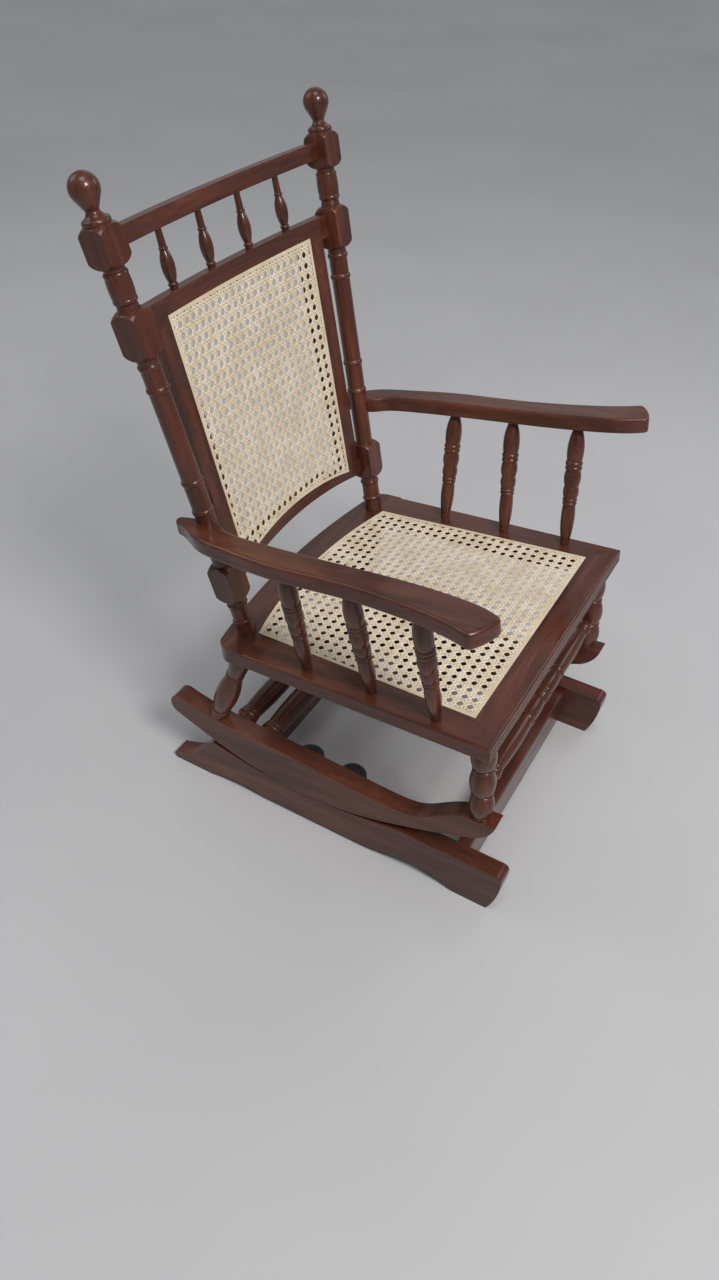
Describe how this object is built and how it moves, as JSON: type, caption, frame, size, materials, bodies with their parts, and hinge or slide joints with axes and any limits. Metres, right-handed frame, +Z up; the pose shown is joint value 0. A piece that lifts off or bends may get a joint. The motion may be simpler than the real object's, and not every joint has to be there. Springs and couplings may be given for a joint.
{
  "type": "platform rocking chair",
  "caption": "Turned dark wood rocking chair with caned seat and back, rocking on curved runners over a sprung floor base.",
  "frame": {"origin": "on the floor, midway between the sides and midway between the front of the base and the rear of the finials", "axes": "+Z up, -Y the way the sitter faces, +X to the sitter's left"},
  "size_m": [0.6214, 0.6286, 0.9658],
  "materials": {
    "dark_wood": "satin varnish",
    "peg_wood": "satin varnish",
    "cane": "natural cane",
    "cane_spline": "natural cane",
    "black_steel": "black enamel",
    "spring_steel": "oiled steel",
    "screw_steel": "zinc plated"
  },
  "bodies": {
    "base": {"base_front_rail": "dark_wood", "base_rear_rail": "dark_wood", "base_runner_left": "dark_wood", "base_runner_right": "dark_wood", "spring_coils_left": "spring_steel", "spring_coils_right": "spring_steel", "spring_lower_bracket_left": "black_steel", "spring_lower_bracket_right": "black_steel", "spring_lower_screws": "screw_steel"},
    "rolling_link": {"arm_pegs": "peg_wood"},
    "chair": {"arm_left": "dark_wood", "arm_plugs": "peg_wood", "arm_right": "dark_wood", "arm_screws": "screw_steel", "arm_spindle_left_1": "dark_wood", "arm_spindle_left_2": "dark_wood", "arm_spindle_left_3": "dark_wood", "arm_spindle_right_1": "dark_wood", "arm_spindle_right_2": "dark_wood", "arm_spindle_right_3": "dark_wood", "back_cane": "cane", "back_cane_spline": "cane_spline", "back_crest_rail": "dark_wood", "back_lower_rail": "dark_wood", "back_post_left": "dark_wood", "back_post_right": "dark_wood", "back_stile_left": "dark_wood", "back_stile_right": "dark_wood", "back_upper_rail": "dark_wood", "front_leg_left": "dark_wood", "front_leg_right": "dark_wood", "front_stretcher": "dark_wood", "gallery_spindle_1": "dark_wood", "gallery_spindle_2": "dark_wood", "gallery_spindle_3": "dark_wood", "gallery_spindle_4": "dark_wood", "rear_leg_left": "dark_wood", "rear_leg_right": "dark_wood", "rear_stretcher_1": "dark_wood", "rear_stretcher_2": "dark_wood", "rocker_left": "dark_wood", "rocker_right": "dark_wood", "seat_cane": "cane", "seat_cane_spline": "cane_spline", "seat_dowels": "peg_wood", "seat_front_rail": "dark_wood", "seat_rear_rail": "dark_wood", "seat_side_rail_left": "dark_wood", "seat_side_rail_right": "dark_wood", "spring_upper_bracket_left": "black_steel", "spring_upper_bracket_right": "black_steel", "spring_upper_screws": "screw_steel"}
  },
  "joints": [
    {"name": "dish_roll", "type": "hinge", "parent": "base", "child": "rolling_link", "pos_m": [0, 0.04, 0.776], "axis": [1, 0, 0], "range_deg": [-12, 12]},
    {"name": "rock", "type": "hinge", "parent": "rolling_link", "child": "chair", "pos_m": [0, 0.04, 0.537], "axis": [1, 0, 0], "range_deg": [-18, 18], "stiffness_Nm_per_rad": 20}
  ],
  "couplings": [
    {"joint": "dish_roll", "follows": "rock", "ratio": -0.66433}
  ]
}
